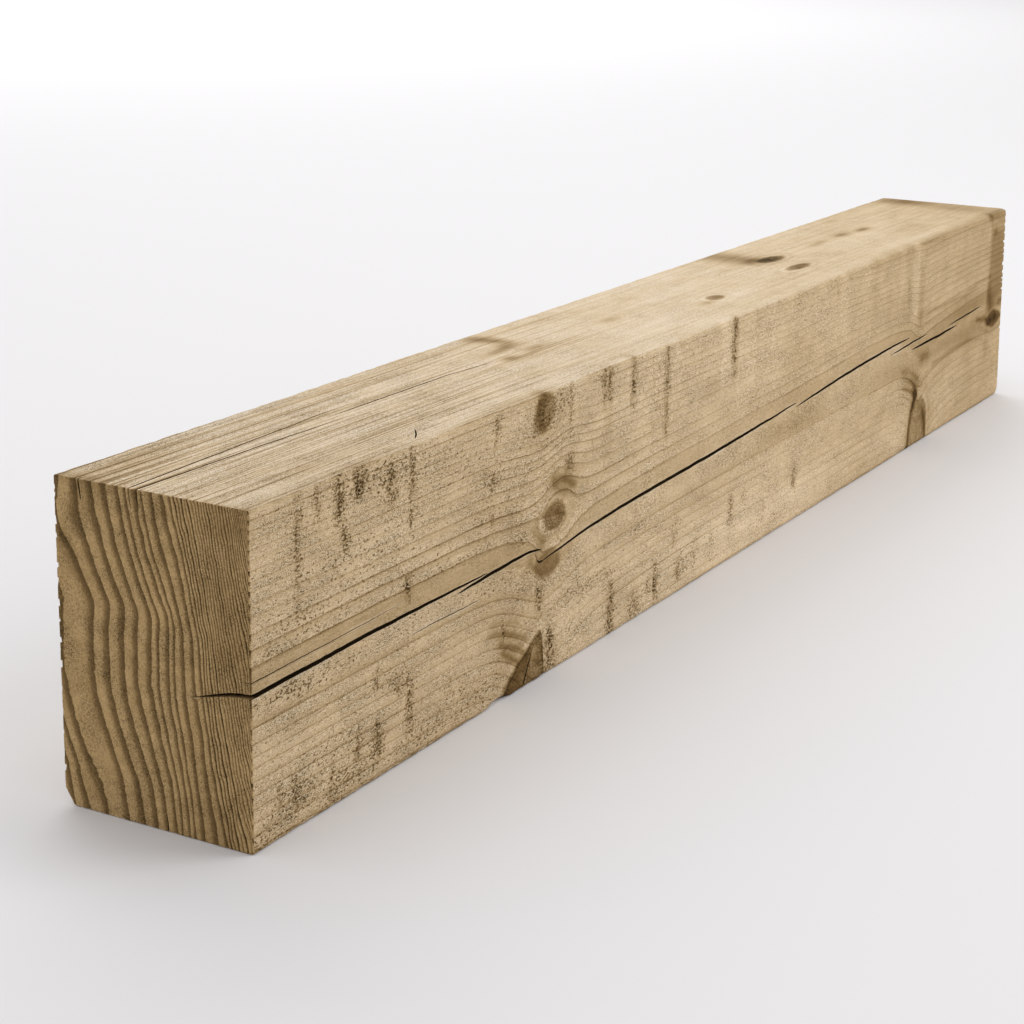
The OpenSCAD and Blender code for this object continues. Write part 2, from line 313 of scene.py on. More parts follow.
# Strokes of dark or pale grain round the knots of the front: places along and high, half width, shade
FRONT_STROKES = [
    ([(256, 103.5), (265, 101), (272, 97.5), (278, 94.5)], 3.4, -0.6),
    ([(255.5, 99.5), (262, 96), (268, 92.5)], 2.8, -0.46), ([(268, 104), (285, 101)], 3, -0.2),
    ([(274, 96.5), (292, 91)], 2.4, -0.16), ([(258.5, 84), (261.5, 86)], 1.8, -0.52),
    ([(262, 84), (264.5, 82.5)], 1.8, -0.39), ([(250, 78), (262, 77), (268, 80)], 1.9, -0.33),
    ([(236, 79), (246, 72)], 3, -0.39),
    ([(232, 66), (237, 60), (243, 56), (252, 54), (262, 57)], 2, -0.33),
    ([(195, 42.5), (203, 42), (212, 41), (222, 37)], 1.8, -0.33),
    ([(192, 38.5), (209, 35), (216, 32), (225, 28.5), (232, 25.5)], 1.9, -0.55),
    ([(203, 30.5), (209, 28), (215, 26), (222, 23), (227, 20)], 1.9, -0.59),
    ([(206, 25), (214, 20.5), (219, 17.5), (222, 16)], 1.9, -0.65), ([(205, 3), (213, 9)], 3.2, -0.42),
    ([(218, 3), (228, 14)], 6, -0.49), ([(233, 9), (240, 18)], 1.8, 0.35),
    ([(788.5, -3), (789.5, 8), (791, 18), (793, 26), (797, 31.5), (802, 38)], 3, -0.9),
    ([(775, 47), (788, 43.5), (797, 40), (803, 37)], 1.9, -0.45),
    ([(775, 54), (790, 49), (800, 43)], 1.9, -0.39),
    ([(770, 60), (785, 58), (797, 53), (806, 48.5)], 1.9, -0.36),
    ([(819, 23), (824, 12), (826, 2)], 2.8, -0.6), ([(803, 18), (812, 19), (818, 17)], 1.8, -0.26),
    ([(808, 28), (816, 26)], 3, -0.33), ([(809, 63), (822, 65)], 3, -0.26),
    ([(800, 97), (850, 95), (900, 95.5), (930, 99), (960, 101)], 1.9, -0.26),
    ([(835, 54), (870, 56), (920, 57.5), (950, 53)], 1.9, -0.23),
    ([(932, 71), (945, 69), (956, 68)], 1.8, -0.45), ([(957, 92), (962, 84), (966, 72)], 6, -0.12),
    ([(240, 146), (238, 139), (241, 133), (247, 130.5)], 2.2, -0.5),
    ([(243, 149), (252, 147)], 2, -0.35), ([(985, 76), (995, 77)], 1.9, -0.45),
    ([(961, 63), (970, 64.5)], 1.8, -0.39),
]
# Slow change of tone along the front and along the top
TONE_STATIONS = [0, 120, 250, 450, 600, 800, 1000]
FRONT_TONE = [0.05, 0.05, 0.05, 0.11, 0.05, -0.15, -0.2]
TOP_TONE = [-0.09, -0.07, -0.04, -0.05, -0.1, -0.19, -0.23]
# The bottom arris of the front: a rough, worn edge with painted contact shadow where it meets the floor
SHADED_WORN_EDGE = 2.4
WORN_EDGE_AND_CONTACT_SHADE = -0.45

# Rows of nicks along the arrises: start, axis of the row, its reach, gaps,
# size of a nick along, deep and high, how far each is turned, seed
ARRIS_NICKS = [
    ((0, 0, 8), 2, 140, (0.8, 8), ((2, 7), (0.6, 2.8), (0.7, 4.6)), 0.2, 101),
    ((LENGTH, WIDTH, 84), 2, 64, (0.6, 5), ((4, 11), (2, 8), (0.7, 3.2)), 0.06, 102),
    ((LENGTH, WIDTH, 14), 2, 62, (2, 9), ((3, 7), (2, 5), (0.8, 2)), 0.06, 106),
    ((0, WIDTH, 0), 0, 990, (3, 16), ((2, 10), (0.6, 1.8), (0.6, 2.0)), 0.25, 103),
    ((0, 1, HEIGHT), 1, 98, (2, 12), ((0.5, 1.4), (0.8, 2.2), (0.4, 0.9)), 0.25, 104),
    ((0, 3, 0), 1, 96, (1.5, 7), ((0.6, 1.8), (0.8, 2.6), (0.5, 1.4)), 0.25, 105),
]


# Fields over the timber


def smooth_step(low, high, value):
    share = np.clip((value - low) / (high - low), 0, 1)
    return share * share * (3 - 2 * share)


def bell(value, half_width):
    return np.exp(-((value / half_width) ** 2))


def noise_at(along, deep, high, seed):
    """Smooth noise between about -1 and 1, one feature for each unit of the places given."""
    places = np.broadcast_arrays(along + 17.3 * seed, deep + 5.1 * seed, high - 9.7 * seed)
    return np.array([noise.noise(place) for place in np.stack(places, axis=-1).tolist()])


def grain_places(along, deep, high):
    """Where the grain at each place would lie if it ran straight."""
    rise = np.interp(along, GRAIN_STATIONS, GRAIN_RISE)
    off = high - CHECK_LEVEL - rise
    level = high - rise * bell(off, np.where(off > 0, RISE_REACH_UP, RISE_REACH_DOWN))
    depth = np.array(deep)
    for at, centre, _, half_high, _, _, _, lift, reach, reach_up in FRONT_KNOTS:
        off = high - centre
        push = np.tanh(off / half_high) * np.exp(-np.abs(off) / reach_up)
        crest = at + CREST_DRIFT * np.clip(off, 0, None)
        level = level - lift * push * bell(along - crest, reach)
    for at, _, _, _, _, _, pull, reach_left, reach_right, reach_up in ARRIS_KNOTS:
        off = along - at
        fall = np.where(off < 0, bell(off, reach_left), np.exp(-np.abs(off) / reach_right))
        fade = np.exp(-(WIDTH - deep) / ARRIS_KNOT_REACH_IN)
        level = level + pull * fall * fade * np.exp(-high / reach_up)
    for at, centre, half_long, half_wide, _, swell in TOP_KNOTS:
        off = deep - centre
        push = np.tanh(off / half_wide) * np.exp(-np.abs(off) / (3 * half_wide))
        sink = np.exp(-(HEIGHT - high) / KNOT_DEPTH)
        depth = depth - swell * push * sink * bell(along - at, 1.6 * half_long)
    return depth, level


def ring_table():
    """Depths and ring numbers: slow through the pale earlywood, quick through the latewood."""
    count = np.arange(1, CLOSE_RING_COUNT + CLOSE_RINGS_BEYOND)
    close = WIDE_RING_EDGES[-1] + CLOSE_RING * (count + RING_SCATTER * np.sin(RING_BEAT * count))
    edges = WIDE_RING_EDGES + list(close)
    depths = []
    numbers = []
    for number, (inner, outer) in enumerate(zip(edges, edges[1:])):
        late = min(LATEWOOD_WIDTH, LATEWOOD_SHARE * (outer - inner))
        depths += [inner, outer - late]
        numbers += [number, number + EARLYWOOD_PHASE]
    return depths, numbers


def growth_fields(along, deep, high):
    """Growth ring number, where the sharp edges turn down, and where the face lies along one ring."""
    on_front = WIDTH - deep < FACE_SKIN
    depth, level = grain_places(along, np.where(on_front, WIDTH, deep), high)
    depths, numbers = ring_table()
    back = np.interp(level, LEAN_HEIGHTS_BACK, LEAN_BACK)
    middle = np.interp(level, LEAN_HEIGHTS_MIDDLE, LEAN_MIDDLE)
    face_ring = FACE_RING_AT_CHECK + np.interp(level, FACE_HEIGHTS, FACE_RINGS)
    front = WIDTH - np.interp(face_ring, numbers, depths)
    lean = back + (middle - back) * smooth_step(45, 74, depth)
    close = CLOSE_LEAN * (level - HEIGHT / 2)
    lean = lean + (close - lean) * smooth_step(74, 92, depth)
    lean = lean + (front - lean) * smooth_step(92, WIDTH, depth)
    wander = 0.7 * noise_at(along / 90, deep / 14, high / 22, 3)
    wander = wander + 0.3 * noise_at(along / 30, deep / 6, high / 8, 4)
    for at, centre, half_deep, half_high, shift in RING_SWINGS:
        wander = wander + shift * bell(deep - at, half_deep) * bell(high - centre, half_high)
    wander = wander * (1 - smooth_step(72, WIDTH, depth))
    growth = np.interp(depth - lean + wander, depths, numbers)
    below = 1 - smooth_step(CHECK_LEVEL - 0.7, CHECK_LEVEL + 0.3, level)
    flat = bell(level - FLAT_GRAIN_MIDDLE, FLAT_GRAIN_REACH) * (1 - 0.4 * smooth_step(235, 290, along))
    near_front = np.exp(-(WIDTH - deep) / 6)
    return growth, below * near_front, flat * near_front


def knot_fields(along, deep, high):
    """Distance from the nearest knot's heart, 1 at its rim, then its darkness and its crispness."""
    knots = []
    for at, centre, half_long, half_high, slant, square, dark, *_ in FRONT_KNOTS:
        taper = 0.35 + 0.65 * deep / WIDTH
        above = high - centre + KNOT_DIP * (WIDTH - deep)
        off = along - at - slant * above
        reach = (np.abs(off / half_long) ** square + np.abs(above / half_high) ** square) ** (1 / square)
        knots.append((reach / taper, dark, FRONT_KNOT_CRISPNESS))
    for at, left, right, half_high, square, dark, *_ in ARRIS_KNOTS:
        off = along - at
        sideways = np.abs(off) / np.where(off < 0, left, right)
        upwards = np.clip(high, 0, None) / half_high
        inward = np.clip(WIDTH - deep, 0, None) / (1.4 * half_high)
        reach = (sideways ** square + upwards ** square + inward ** square) ** (1 / square)
        sharpened = np.clip(1 + ARRIS_KNOT_SHARPNESS * (reach - 1), 0.4, None)
        knots.append((sharpened, dark, ARRIS_KNOT_CRISPNESS))
    for at, centre, half_long, half_wide, dark, _ in TOP_KNOTS:
        down = (HEIGHT - high) / KNOT_DEPTH
        across = (deep - centre) / half_wide
        reach = np.sqrt(((along - at) / half_long) ** 2 + across ** 2 + down ** 2)
        knots.append((reach, dark, TOP_KNOT_CRISPNESS))
    distance = np.array([reach for reach, dark, crisp in knots])
    darkness = np.array([dark for reach, dark, crisp in knots])
    crispness = np.array([crisp for reach, dark, crisp in knots])
    nearest = distance.argmin(axis=0)
    return distance.min(axis=0), darkness[nearest], crispness[nearest]


def random_marks(count, seed):
    """Saw marks for the faces that the photograph doesn't show."""
    draw = np.random.default_rng(seed)
    marks = []
    for at in np.linspace(25, LENGTH - 25, count):
        low = draw.uniform(0, 0.75) * HEIGHT
        reach = draw.uniform(12, 45)
        place = at + draw.uniform(-12, 12)
        marks.append((place, low, low + reach, draw.uniform(1.6, 3), draw.uniform(0.4, 0.9)))
    return marks


BACK_MARKS = random_marks(30, 11)


def torn_field(along, high, marks, seed):
    """How deep the saw tore the face, in millimetres."""
    wobble = 1.4 * noise_at(0 * along, 0 * along, high / 7, seed)
    ragged = np.clip(0.6 + 1.1 * noise_at(along / 2.6, 0 * along, high / 4, seed + 1), 0, 1.3)
    torn = np.zeros(len(along))
    for at, low, top, half_width, depth in marks:
        window = smooth_step(low - 3, low + 2, high) * (1 - smooth_step(top - 2, top + 3, high))
        torn = np.maximum(torn, depth * bell(along - at - wobble, half_width) * window)
    return torn * ragged


def rough_field(along, deep, high):
    """How thick the dark pits lie, from 0 to about 1."""
    rough = np.zeros(len(along))
    for at, centre, half_long, half_high, amount in ROUGH_PATCHES:
        rough = np.maximum(rough, amount * bell(along - at, half_long) * bell(high - centre, half_high))
    return rough * np.exp(-(WIDTH - deep) / 4)


def sawn_face_relief(along, high, marks, seed):
    """Depth of a rough-sawn wide face below its plane."""
    wave = 0.22 + 0.2 * noise_at(along / 75, 0 * along, high / 260, seed)
    ribs = 0.07 * noise_at(along / 9, 0 * along, high / 90, seed + 2)
    pits = np.clip(noise_at(along / 4.5, 0 * along, high / 3, seed + 3) - 0.3, 0, None)
    edge = np.min([along, LENGTH - along, high, HEIGHT - high], axis=0)
    rough = 0.35 * pits + 0.7 * torn_field(along, high, marks, seed + 4)
    return wave + ribs + rough * (0.25 + 0.75 * smooth_step(1, 7, edge))


def smoother_face_relief(along, deep, seed):
    """Depth of a narrow face below its plane: finer, with long ridges of grain."""
    wave = 0.15 + 0.12 * noise_at(along / 120, deep / 60, 0 * along, seed)
    ridges = 0.08 * noise_at(along / 70, deep / 4, 0 * along, seed + 1)
    return wave + ridges


def sawn_end_relief(deep, high, seed):
    """Depth of a sawn end below its plane."""
    waves = 0.12 * noise_at(0 * deep, deep / 9, high / 9, seed)
    return 0.15 + waves + 0.1 * noise_at(0 * deep, deep / 3, high / 3, seed)


def stroke_share(along, high, route, half_width):
    """1 on the middle of a stroke, fading to 0 beside it and past its ends."""
    nearest = np.full(len(along), np.inf)
    for (start, low), (end, top) in zip(route, route[1:]):
        run = end - start
        rise = top - low
        share = np.clip(((along - start) * run + (high - low) * rise) / (run * run + rise * rise), 0, 1)
        nearest = np.minimum(nearest, np.hypot(along - start - share * run, high - low - share * rise))
    return bell(nearest, half_width)


def stain_and_shade_field(along, deep, high):
    """Stains and tone, with painted facet light and shade and painted contact shadow; above zero where
    paler.
    """
    near = {
        "front": np.exp(-(WIDTH - deep) / 4),
        "top": np.exp(-(HEIGHT - high) / 4),
        "end": np.exp(-along / 4),
    }
    lengthwise = {"front": along, "top": along, "end": deep}
    crosswise = {"front": high, "top": deep, "end": high}
    shade = np.zeros(len(along))
    for face, patches in STAINS.items():
        for at, centre, half_long, half_wide, amount in patches:
            patch = bell(lengthwise[face] - at, half_long) * bell(crosswise[face] - centre, half_wide)
            shade = shade + amount * near[face] * patch
    # Painted light and shade of the sawn facets: paler where a facet faces the light, darker where it
    # faces away
    for start, end, low, top, amount in SAWN_FACET_LIGHT_AND_SHADE:
        lengthwise_share = smooth_step(start - 1, start + 2, along)
        lengthwise_share = lengthwise_share * (1 - smooth_step(end - 2, end + 1, along))
        upright_share = smooth_step(low - 4, low + 4, high) * (1 - smooth_step(top + 1, top + 5, high))
        shade = shade + amount * near["front"] * lengthwise_share * upright_share
    for route, half_width, amount in FRONT_STROKES:
        shade = shade + amount * near["front"] * stroke_share(along, high, route, half_width)
    # Painted contact shadow along the bottom front arris, together with the wear of the edge
    worn_edge_and_shade = WORN_EDGE_AND_CONTACT_SHADE * (1 - smooth_step(0.4, SHADED_WORN_EDGE, high))
    shade = shade + near["front"] * (worn_edge_and_shade + np.interp(along, TONE_STATIONS, FRONT_TONE))
    return shade + near["top"] * np.interp(along, TONE_STATIONS, TOP_TONE)


# The timber's mesh


def row_places(cells, size, stations=(0,), spacings=(1,)):
    """Places of the mesh rows over one side, close together beside the arrises."""
    fine = np.linspace(ARRIS_ROWS[-1], size - ARRIS_ROWS[-1], 4000)
    count = np.cumsum(1 / np.interp(fine, stations, spacings))
    inner = np.interp(np.linspace(count[0], count[-1], cells - 2 * len(ARRIS_ROWS) + 3), count, fine)
    return np.concatenate([ARRIS_ROWS[:-1], inner, size - np.array(ARRIS_ROWS[-2::-1])])


def cube_of_cells(*cells):
    """A cube of size 2 cut into this many cells along its first directions."""
    bm = bmesh.new()
    bmesh.ops.create_cube(bm, size=2)
    for axis, count in enumerate(cells):
        along_axis = [e for e in bm.edges if abs(e.verts[0].co[axis] - e.verts[1].co[axis]) > 1e-5]
        bmesh.ops.subdivide_edges(bm, edges=along_axis, cuts=count - 1, use_grid_fill=True)
    return bm


def ease_corner(first, second, radius):
    """Round a square corner, given the distances inwards from its two faces."""
    x = np.clip(radius - first, 0, None)
    y = np.clip(radius - second, 0, None)
    both = (x > 0) & (y > 0)
    share = np.maximum(x, y) / np.maximum(np.hypot(x, y), 1e-9)
    return np.where(both, radius - x * share, first), np.where(both, radius - y * share, second)


def ease_long_arrises(along, deep, high):
    front, top = ease_corner(WIDTH - deep, HEIGHT - high, np.interp(along, *FRONT_TOP_EASE))
    high = HEIGHT - top
    front, high = ease_corner(front, high, FRONT_BOTTOM_EASE)
    deep, top = ease_corner(WIDTH - front, HEIGHT - high, BACK_TOP_EASE)
    deep, high = ease_corner(deep, HEIGHT - top, BACK_BOTTOM_EASE)
    return deep, high


def ease_end_arrises(along, deep, high):
    for radius, far in ((NEAR_END_EASE, False), (FAR_END_EASE, True)):
        end = LENGTH - along if far else along
        end, deep = ease_corner(end, deep, radius)
        end, front = ease_corner(end, WIDTH - deep, radius)
        deep = WIDTH - front
        end, high = ease_corner(end, high, FAR_BOTTOM_EASE if far else radius)
        end, top = ease_corner(end, HEIGHT - high, FAR_TOP_EASE if far else radius)
        high = HEIGHT - top
        along = LENGTH - end if far else end
    return along, deep, high


def lean_far_end(along, high):
    """Set the far end back towards its top."""
    return along - FAR_END_LEAN * high / HEIGHT * smooth_step(LENGTH - FAR_END_REACH, LENGTH, along)


def cut_wane(along, deep, high):
    """Take off the back bottom arris where the log's own surface shows."""
    left = np.clip(1 - along / WANE_LENGTH, 0, 1) ** 2
    ragged = 1 + 0.35 * noise_at(along / 18, 0 * along, 0 * along, 21)
    width = WANE_WIDTH * left * ragged + 1e-6
    height = WANE_HEIGHT * left * ragged + 1e-6
    short = np.clip(1 - deep / width - high / height, 0, None) / 2
    return deep + short * width, high + short * height


def chip_arrises(along, deep, high):
    """Wear the four long arrises unevenly, and tear one splinter out of the front bottom one."""
    for seed, (sideways, upright) in enumerate(((1, 1), (1, -1), (-1, 1), (-1, -1))):
        inward = WIDTH - deep if sideways > 0 else deep
        under = HEIGHT - high if upright > 0 else high
        near = np.exp(-np.hypot(inward, under) / 2.2)
        chip = 0.45 * np.clip(noise_at(along / 7, 0 * along, 0 * along, 31 + seed) + 0.1, 0, None)
        if sideways > 0 and upright < 0:
            splinter = np.clip(1 - ((along - TEAR_ALONG) / TEAR_HALF_LENGTH) ** 2, 0, None)
            chip = chip + TEAR_DEPTH * splinter
        deep = deep - sideways * chip * near
        high = high - upright * chip * near
    return deep, high


def shape_timber(cube):
    """Millimetre places of the timber's mesh, from the blank's unit places."""
    share = (cube + 1) / 2
    rows = row_places(CELLS_LONG, LENGTH, ROW_STATIONS, ROW_SPACINGS)
    along = rows[np.rint(share[:, 0] * CELLS_LONG).astype(int)]
    deep = row_places(CELLS_WIDE, WIDTH)[np.rint((1 - share[:, 1]) * CELLS_WIDE).astype(int)]
    high = row_places(CELLS_HIGH, HEIGHT)[np.rint(share[:, 2] * CELLS_HIGH).astype(int)]
    front = sawn_face_relief(along, high, SAW_MARKS, 50) * np.exp(-(WIDTH - deep) / RELIEF_FADE)
    back = sawn_face_relief(along, high, BACK_MARKS, 60) * np.exp(-deep / RELIEF_FADE)
    top = smoother_face_relief(along, deep, 70) * np.exp(-(HEIGHT - high) / RELIEF_FADE)
    bottom = smoother_face_relief(along, deep, 74) * np.exp(-high / RELIEF_FADE)
    near = sawn_end_relief(deep, high, 78) * np.exp(-along / RELIEF_FADE)
    far = sawn_end_relief(deep, high, 79) * np.exp(-(LENGTH - along) / RELIEF_FADE)
    deep, high = ease_long_arrises(along, deep, high)
    along, deep, high = ease_end_arrises(along, deep, high)
    deep, high = cut_wane(along, deep, high)
    deep, high = chip_arrises(along, deep, high)
    along = lean_far_end(along + near - far, high)
    deep = deep - front + back
    high = np.clip(high - top + bottom, 0, None)
    return along, deep, high


def frame_place(along, deep, high):
    """A place on the timber in the shared frame, in metres."""
    return Vector((BOX_LOW[0] + along * MM, BOX_HIGH[1] - deep * MM, BOX_LOW[2] + high * MM))


def check_place(face, run, level, inside):
    """Place of a blade's point: its run and level over the face, and how far inside it is."""
    if face == "top":
        return frame_place(run, level, HEIGHT - inside)
    if face == "end":
        return frame_place(inside, level, run)
    return frame_place(run, WIDTH - inside, level - inside * CHECK_SLOPE)


def blade_shake(run, inside, mouth, depth):
    """How far a blade strays to the side: jagged along the face, wavy and bowed inside the wood."""
    under = max(inside, 0)
    jagged = 0.22 * noise.noise((run / 5, 3.7, mouth)) + 0.3 * noise.noise((run / 19, 8.1, depth))
    wavy = min(1.6, 0.12 * under) * noise.noise((run / 30, inside / 7, 5.3))
    return jagged + wavy + CHECK_SWAY * math.sin(math.pi * min(under, SWAY_DEPTH) / SWAY_DEPTH)


def check_blade(face, route, mouth, depth):
    """Wedge that cuts one strand of a check, and the places of its walls inside the wood."""
    stations, levels = zip(*route)
    count = max(FEWEST_STATIONS, round((stations[-1] - stations[0]) / STATION_STEP))
    last_row = len(BLADE_ROWS) + 1
    bm = cube_of_cells(count + 1, last_row)
    opens = stations[0] <= 0
    walls = []
    for vert in bm.verts:
        t = (vert.co.x + 1) / 2
        run = stations[0] + t * (stations[-1] - stations[0])
        swell = math.cos(math.pi / 2 * t) if opens else math.sin(math.pi * t)
        opening = max(CHECK_END_SHARE, max(swell, 0) ** CHECK_FULLNESS)
        reach = depth * opening
        row = round((vert.co.y + 1) / 2 * last_row)
        inside = [-CUT_OVERRUN, *BLADE_ROWS, reach][row]
        inside = min(inside, reach * (0.4 + 0.6 * row / last_row))
        half = mouth * opening * (1 - inside / reach) ** 0.7 / 2 + CHECK_TIP / 2
        level = float(np.interp(run, stations, levels)) + blade_shake(run, inside, mouth, depth)
        if opens and t == 0:
            run = -CUT_OVERRUN
        vert.co = check_place(face, run, level + half * vert.co.z, inside)
        if inside > 0:
            walls.append(vert.co.copy())
    if bm.calc_volume(signed=True) < 0:
        bmesh.ops.reverse_faces(bm, faces=bm.faces)
    return bm, walls


def nick_row(start, axis, reach, gaps, sizes, most_turn, seed):
    """Small blocks in a row that nick an arris, each of its own size and turn."""
    draw = np.random.default_rng(seed)
    bm = bmesh.new()
    run = draw.uniform(*gaps)
    while run < reach:
        extent = [draw.uniform(low, high) for low, high in sizes]
        place = list(start)
        place[axis] += run + extent[axis] / 2
        place[0] = lean_far_end(place[0], place[2])
        run += 1.2 * extent[axis] + draw.uniform(*gaps)
        turn = Euler(draw.uniform(-most_turn, most_turn, 3)).to_matrix().to_4x4()
        size = Matrix.Diagonal((extent[0] * MM, extent[1] * MM, extent[2] * MM, 1))
        block = Matrix.Translation(frame_place(*place)) @ turn @ size
        bmesh.ops.create_cube(bm, size=1, matrix=block)
    return bm


def linked(name, data):
    piece = bpy.data.objects.new(name, data)
    bpy.context.scene.collection.objects.link(piece)
    return piece


def cut_away(timber, bm):
    """Take what one cutter covers out of the timber's mesh."""
    cutter = linked("cutter", bpy.data.meshes.new("cutter"))
    bm.to_mesh(cutter.data)
    bm.free()
    cut = timber.modifiers.new("cut", "BOOLEAN")
    cut.operation = "DIFFERENCE"
    cut.solver = "EXACT"
    cut.object = cutter
    bpy.context.view_layer.update()
    cut_timber = timber.evaluated_get(bpy.context.evaluated_depsgraph_get())
    finished = bpy.data.meshes.new_from_object(cut_timber)
    timber.modifiers.clear()
    before = timber.data
    timber.data = finished
    bpy.data.meshes.remove(before)
    spent = cutter.data
    bpy.data.objects.remove(cutter)
    bpy.data.meshes.remove(spent)


def cut_checks_and_nicks(timber):
    """Cut the checks and the nicked arrises, and give the places of the checks' walls."""
    walls = []
    by_face = {"front": CHECK_STRANDS + FACE_HAIRLINES, "top": TOP_CHECKS, "end": END_CHECKS}
    for face, strands in by_face.items():
        for route, mouth, depth in strands:
            blade, blade_walls = check_blade(face, route, mouth, depth)
            cut_away(timber, blade)
            walls += blade_walls
    for nicks in ARRIS_NICKS:
        cut_away(timber, nick_row(*nicks))
    return walls


def wall_field(mesh, walls):
    """1 on the walls of the checks, 0 elsewhere."""
    tree = kdtree.KDTree(len(walls))
    for index, place in enumerate(walls):
        tree.insert(place, index)
    tree.balance()
    return np.array([tree.find(vert.co)[2] < WALL_REACH * MM for vert in mesh.vertices], dtype=float)


def point_field(mesh, name, values):
    layer = mesh.attributes.new(name, "FLOAT", "POINT")
    layer.data.foreach_set("value", np.ascontiguousarray(values, dtype=np.float32))


def mesh_array(items, name):
    values = np.empty(len(items) * 3, dtype=np.float32)
    items.foreach_get(name, values)
    return values.reshape(-1, 3).astype(float)


def write_fields(mesh, walls):
    """Store the growth rings, knots, saw marks, stains and painted light and shade on the finished mesh.
    """
    places = mesh_array(mesh.vertices, "co")
    facing = np.abs(mesh_array(mesh.vertices, "normal"))
    along = (places[:, 0] - BOX_LOW[0]) / MM
    deep = (BOX_HIGH[1] - places[:, 1]) / MM
    high = (places[:, 2] - BOX_LOW[2]) / MM
    growth, below, flat = growth_fields(along, deep, high)
    reach, darkness, rim = knot_fields(along, deep, high)
    front_torn = torn_field(along, high, SAW_MARKS, 54) * np.exp(-(WIDTH - deep) / 3)
    back_torn = torn_field(along, high, BACK_MARKS, 64) * np.exp(-deep / 3)
    point_field(mesh, "inside", wall_field(mesh, walls))
    point_field(mesh, "growth", growth)
    point_field(mesh, "below", below)
    point_field(mesh, "flat", flat)
    point_field(mesh, "rough", rough_field(along, deep, high))
    point_field(mesh, "knot", reach)
    point_field(mesh, "knot_dark", darkness)
    point_field(mesh, "knot_rim", rim)
    point_field(mesh, "torn", front_torn + back_torn)
    level_face = smooth_step(0.4, 0.8, facing[:, 2])
    crisp = 1 - (0.35 + 0.4 * level_face) * smooth_step(60, 700 - 200 * level_face, along)
    for at, centre, half_long, half_high in CRISP_GRAIN:
        crisp = crisp + CRISP_GAIN * bell(along - at, half_long) * bell(high - centre, half_high)
    point_field(mesh, "crisp", crisp)
    point_field(mesh, "stain_and_shade", stain_and_shade_field(along, deep, high))
    point_field(mesh, "end_cut", smooth_step(0.45, 0.75, facing[:, 0]))
    point_field(mesh, "level_face", level_face)


def make_timber():
    bm = cube_of_cells(CELLS_LONG, CELLS_WIDE, CELLS_HIGH)
    cube = np.array([vert.co[:] for vert in bm.verts])
    along, deep, high = shape_timber(cube)
    for vert, place in zip(bm.verts, zip(along, deep, high)):
        vert.co = frame_place(*place)
    bmesh.ops.recalc_face_normals(bm, faces=bm.faces)
    mesh = bpy.data.meshes.new("sawn_timber")
    bm.to_mesh(mesh)
    bm.free()
    timber = linked("sawn_timber", mesh)
    walls = cut_checks_and_nicks(timber)
    timber.data.shade_smooth()
    timber.data.set_sharp_from_angle(angle=SHARP_ANGLE)
    write_fields(timber.data, walls)
    return timber


# The finish


class Bench:
    """Sets out the nodes of one material and hands back their sockets."""

    def __init__(self, name):
        self.material = bpy.data.materials.new(name)
        self.material.use_nodes = True
        self.tree = self.material.node_tree
        self.tree.nodes.clear()
        self.places = self.node("ShaderNodeTexCoord").outputs["Object"]
        self.fields = {}

    def node(self, kind, **settings):
        made = self.tree.nodes.new(kind)
        for name, value in settings.items():
            setattr(made, name, value)
        return made

    def put(self, socket, value):
        if isinstance(value, bpy.types.NodeSocket):
            self.tree.links.new(value, socket)
        else:
            socket.default_value = value

    def math(self, operation, *values, clamp=False):
        made = self.node("ShaderNodeMath", operation=operation, use_clamp=clamp)
        for socket, value in zip(made.inputs, values):
            self.put(socket, value)
        return made.outputs[0]

    def product(self, *values):
        result = values[0]
        for value in values[1:]:
            result = self.math("MULTIPLY", result, value)
        return result

    def darken(self, shade, share, amount):
        """The shade, less this amount of it where the share is 1."""
        return self.math("MULTIPLY", shade, self.math("MULTIPLY_ADD", share, -amount, 1.0))

    def mix(self, share, first, second):
        made = self.node("ShaderNodeMix", data_type="FLOAT")
        self.put(made.inputs["Factor"], share)
        self.put(made.inputs["A"], first)
        self.put(made.inputs["B"], second)
        return made.outputs["Result"]

    def mix_colour(self, share, first, second):
        made = self.node("ShaderNodeMix", data_type="RGBA")
        self.put(made.inputs[0], share)
        self.put(made.inputs[6], first)
        self.put(made.inputs[7], second)
        return made.outputs[2]

    def field(self, name):
        """What the mesh stores under this name at each place."""
        if name not in self.fields:
            self.fields[name] = self.node("ShaderNodeAttribute", attribute_name=name).outputs["Fac"]
        return self.fields[name]

    def noise(self, per_metre, detail=2.0, roughness=0.5, seed=0.0):
        """Noise about zero, mostly between -0.3 and 0.3."""
        spread = self.node("ShaderNodeMapping", vector_type="POINT")
        self.put(spread.inputs["Vector"], self.places)
        spread.inputs["Scale"].default_value = per_metre
        spread.inputs["Location"].default_value = (seed * 3.1, seed * 7.7, seed * 1.9)
        made = self.node("ShaderNodeTexNoise", noise_dimensions="3D")
        self.put(made.inputs["Vector"], spread.outputs["Vector"])
        made.inputs["Scale"].default_value = 1.0
        made.inputs["Detail"].default_value = detail
        made.inputs["Roughness"].default_value = roughness
        return self.math("SUBTRACT", made.outputs["Fac"], 0.5)

    def chance(self, value):
        """One number between 0 and 1 for each whole value."""
        made = self.node("ShaderNodeTexWhiteNoise", noise_dimensions="1D")
        self.put(made.inputs["W"], value)
        return made.outputs["Value"]

    def curve(self, value, stops):
        """Grey ramp through (place, height) stops."""
        return self.ramp(value, [(place, (height, height, height, 1)) for place, height in stops])

    def ramp(self, value, stops):
        made = self.node("ShaderNodeValToRGB")
        elements = made.color_ramp.elements
        elements[0].position, elements[0].color = stops[0]
        elements[1].position, elements[1].color = stops[-1]
        for place, colour in stops[1:-1]:
            elements.new(place).color = colour
        self.put(made.inputs["Fac"], value)
        return made.outputs["Color"]


